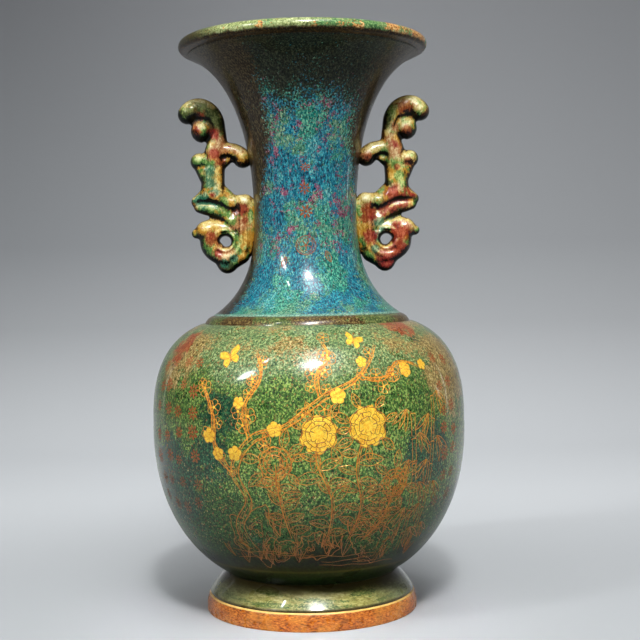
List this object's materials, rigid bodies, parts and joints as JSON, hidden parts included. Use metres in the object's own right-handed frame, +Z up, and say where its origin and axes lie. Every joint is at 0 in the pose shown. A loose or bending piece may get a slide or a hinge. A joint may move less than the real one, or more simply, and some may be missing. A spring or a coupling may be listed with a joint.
{
  "type": "jun ware vase",
  "caption": "Round-bodied stoneware vase with a trumpet mouth, a ringed shoulder, a flared foot and openwork scroll ears.",
  "frame": {"origin": "centre of the foot rim's flat resting face", "axes": "+Z up along the thrown axis, +X through the right-hand ear, -Y towards the decorated front"},
  "size_m": [0.22, 0.22, 0.4],
  "materials": {
    "bare_foot": "unglazed, dressed with an iron wash",
    "olive_glaze": "thin glossy olive glaze",
    "green_glaze": "glossy flecked green glaze with gilt drawing",
    "brown_glaze": "glossy glaze, broken to brown over the ridge",
    "blue_glaze": "glossy streaked blue and turquoise glaze",
    "lip_glaze": "glossy glaze, thin and pale over the lip",
    "ear_glaze": "glossy glaze, cream on the high places and red-brown in the hollows"
  },
  "bodies": {
    "root": {"foot_rim": "bare_foot", "foot_ring": "olive_glaze", "lower_body": "green_glaze", "upper_body": "green_glaze", "shoulder_coil": "brown_glaze", "neck": "blue_glaze", "lip_coil": "lip_glaze", "right_ear": "ear_glaze", "left_ear": "ear_glaze"}
  },
  "joints": []
}
